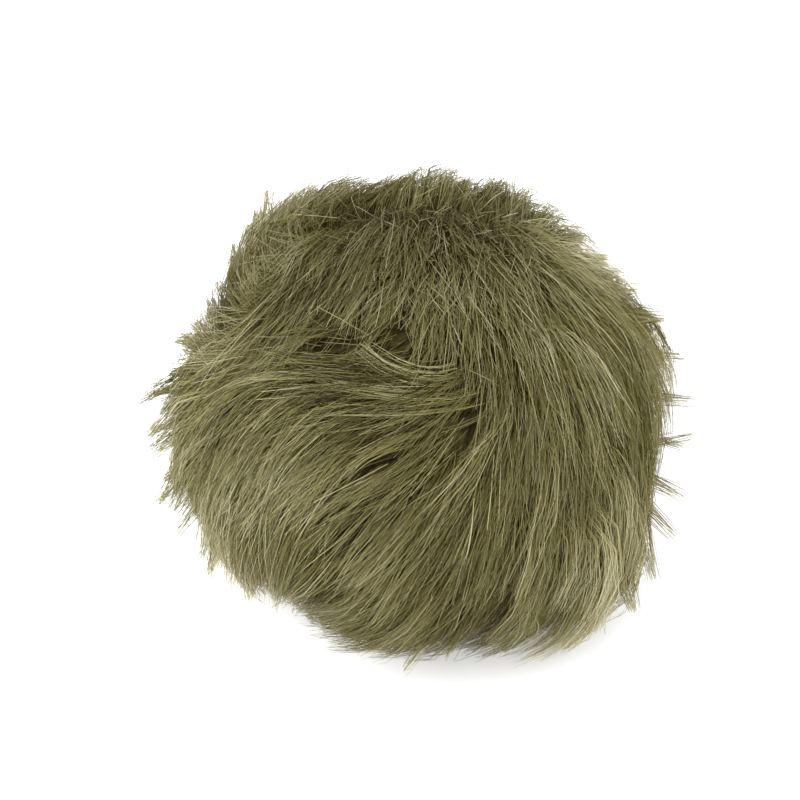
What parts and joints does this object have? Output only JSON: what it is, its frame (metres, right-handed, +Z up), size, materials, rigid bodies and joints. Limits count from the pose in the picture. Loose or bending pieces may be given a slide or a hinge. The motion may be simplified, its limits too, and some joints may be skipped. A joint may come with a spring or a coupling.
{
  "type": "fur pom pom",
  "caption": "Round ball of soft olive fur, a trimming for a hat, bag or key ring, resting on a small flat spot.",
  "frame": {"origin": "middle of the flat spot under the ball", "axes": "+Z up; the side whose fur falls down and sweeps to the left faces -Y and up; +X to its right"},
  "size_m": [0.0822, 0.0797, 0.072],
  "materials": {
    "fur": "soft olive fur, darker at the roots, with a low sheen on the hairs"
  },
  "bodies": {
    "root": {"pom_pom": "fur"}
  },
  "joints": []
}
